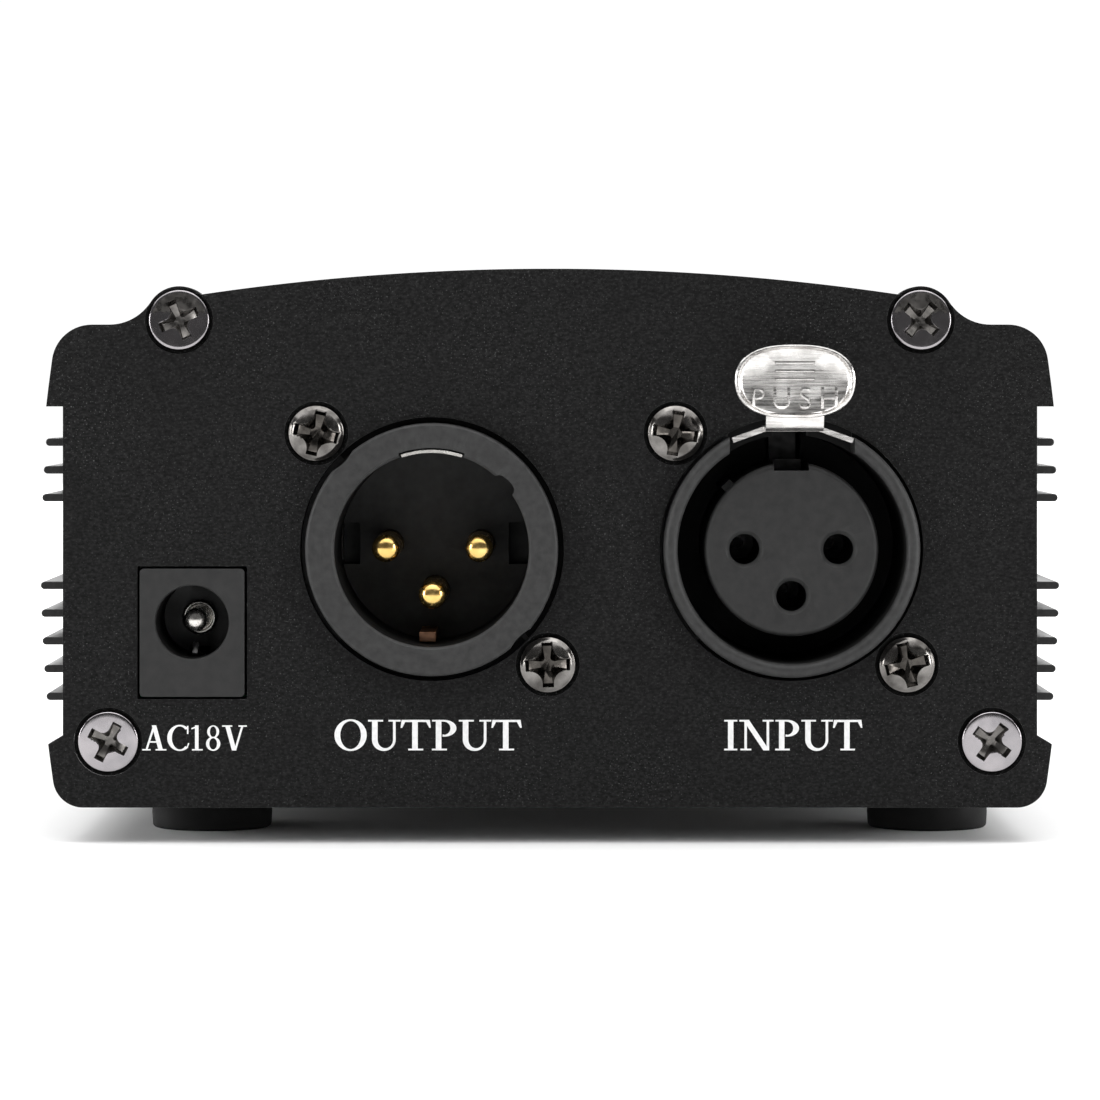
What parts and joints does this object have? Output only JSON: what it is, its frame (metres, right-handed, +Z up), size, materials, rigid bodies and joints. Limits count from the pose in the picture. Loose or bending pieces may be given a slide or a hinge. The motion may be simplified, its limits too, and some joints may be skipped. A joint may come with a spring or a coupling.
{
  "type": "direct injection box",
  "caption": "Small finned aluminium direct injection box with XLR input and output, a power inlet, an instrument jack, rotary controls and push switches.",
  "frame": {"origin": "centre of the bounding box in X and Y, on the surface that the rubber feet stand on", "axes": "+Z up, -Y out of the rear plate with its connectors, +Y out of the front plate with its controls, +X to the right of someone who faces the rear plate"},
  "size_m": [0.0882, 0.1378, 0.0495],
  "materials": {
    "anodised_shell": "black anodised, matt",
    "plate_coat": "matt black coat with a fine speckle",
    "black_nickel": "black nickel plate",
    "nylon": "glass-filled nylon, matt",
    "dark_nylon": "black nylon, matt",
    "nickel": "bright nickel plate",
    "gold": "gold plate, polished",
    "bronze": "bare bronze, dull",
    "rubber": "matt black",
    "board": "green solder mask",
    "steel": "zinc plate",
    "core_steel": "varnished laminations",
    "winding": "enamelled copper under amber tape",
    "can": "dark plastic sleeve",
    "lamp": "clear red lens",
    "knob": "moulded, satin",
    "cap": "moulded, satin"
  },
  "bodies": {
    "case": {"upper_shell": "anodised_shell", "lower_shell": "anodised_shell", "rear_plate": "plate_coat", "front_plate": "plate_coat", "rear_screw_upper_left": "black_nickel", "rear_screw_upper_right": "black_nickel", "rear_screw_lower_left": "black_nickel", "rear_screw_lower_right": "black_nickel", "front_screw_upper_left": "black_nickel", "front_screw_upper_right": "black_nickel", "front_screw_lower_left": "black_nickel", "front_screw_lower_right": "black_nickel", "foot_rear_left": "rubber", "foot_rear_right": "rubber", "foot_front_left": "rubber", "foot_front_right": "rubber", "output_xlr_shell": "nylon", "output_xlr_insert": "dark_nylon", "output_xlr_pin_1": "gold", "output_xlr_pin_2": "gold", "output_xlr_pin_3": "gold", "output_xlr_ground_tab": "bronze", "output_xlr_latch_plate": "nickel", "output_xlr_screw_upper": "black_nickel", "output_xlr_screw_lower": "black_nickel", "input_xlr_shell": "nylon", "input_xlr_insert": "nylon", "input_xlr_contact_1": "gold", "input_xlr_contact_2": "gold", "input_xlr_contact_3": "gold", "input_xlr_screw_upper": "black_nickel", "input_xlr_screw_lower": "black_nickel", "power_jack_body": "nylon", "power_jack_pin": "nickel", "power_jack_spring": "nickel", "instrument_jack_body": "nylon", "instrument_jack_nut": "nickel", "instrument_jack_tip_spring": "nickel", "gain_pot_body": "steel", "gain_pot_nut": "steel", "level_pot_body": "steel", "level_pot_nut": "steel", "phantom_switch_body": "dark_nylon", "pad_switch_body": "dark_nylon", "pilot_lamp": "lamp", "circuit_board": "board", "transformer_core": "core_steel", "transformer_winding": "winding", "filter_capacitor_1": "can", "filter_capacitor_2": "can", "voltage_regulator": "dark_nylon"},
    "latch": {"input_xlr_latch": "nickel"},
    "gain_control": {"gain_knob": "knob", "gain_pot_shaft": "steel"},
    "level_control": {"level_knob": "knob", "level_pot_shaft": "steel"},
    "phantom_key": {"phantom_button": "cap"},
    "pad_key": {"pad_button": "cap"}
  },
  "joints": [
    {"name": "latch_press", "type": "hinge", "parent": "case", "child": "latch", "pos_m": [0.02075, -0.06155, 0.03549], "axis": [-1, 0, 0], "range_deg": [0, 5], "stiffness_Nm_per_rad": 0.3, "springref_deg": -2.86},
    {"name": "gain_turn", "type": "hinge", "parent": "case", "child": "gain_control", "pos_m": [0.006, 0.05245, 0.03], "axis": [0, 1, 0], "range_deg": [-150, 150]},
    {"name": "level_turn", "type": "hinge", "parent": "case", "child": "level_control", "pos_m": [-0.0165, 0.05245, 0.03], "axis": [0, 1, 0], "range_deg": [-150, 150]},
    {"name": "phantom_push", "type": "slide", "parent": "case", "child": "phantom_key", "axis": [0, -1, 0], "range_m": [0, 0.0025], "stiffness_N_per_m": 400, "springref_m": -0.002},
    {"name": "pad_push", "type": "slide", "parent": "case", "child": "pad_key", "axis": [0, -1, 0], "range_m": [0, 0.0025], "stiffness_N_per_m": 400, "springref_m": -0.002}
  ]
}
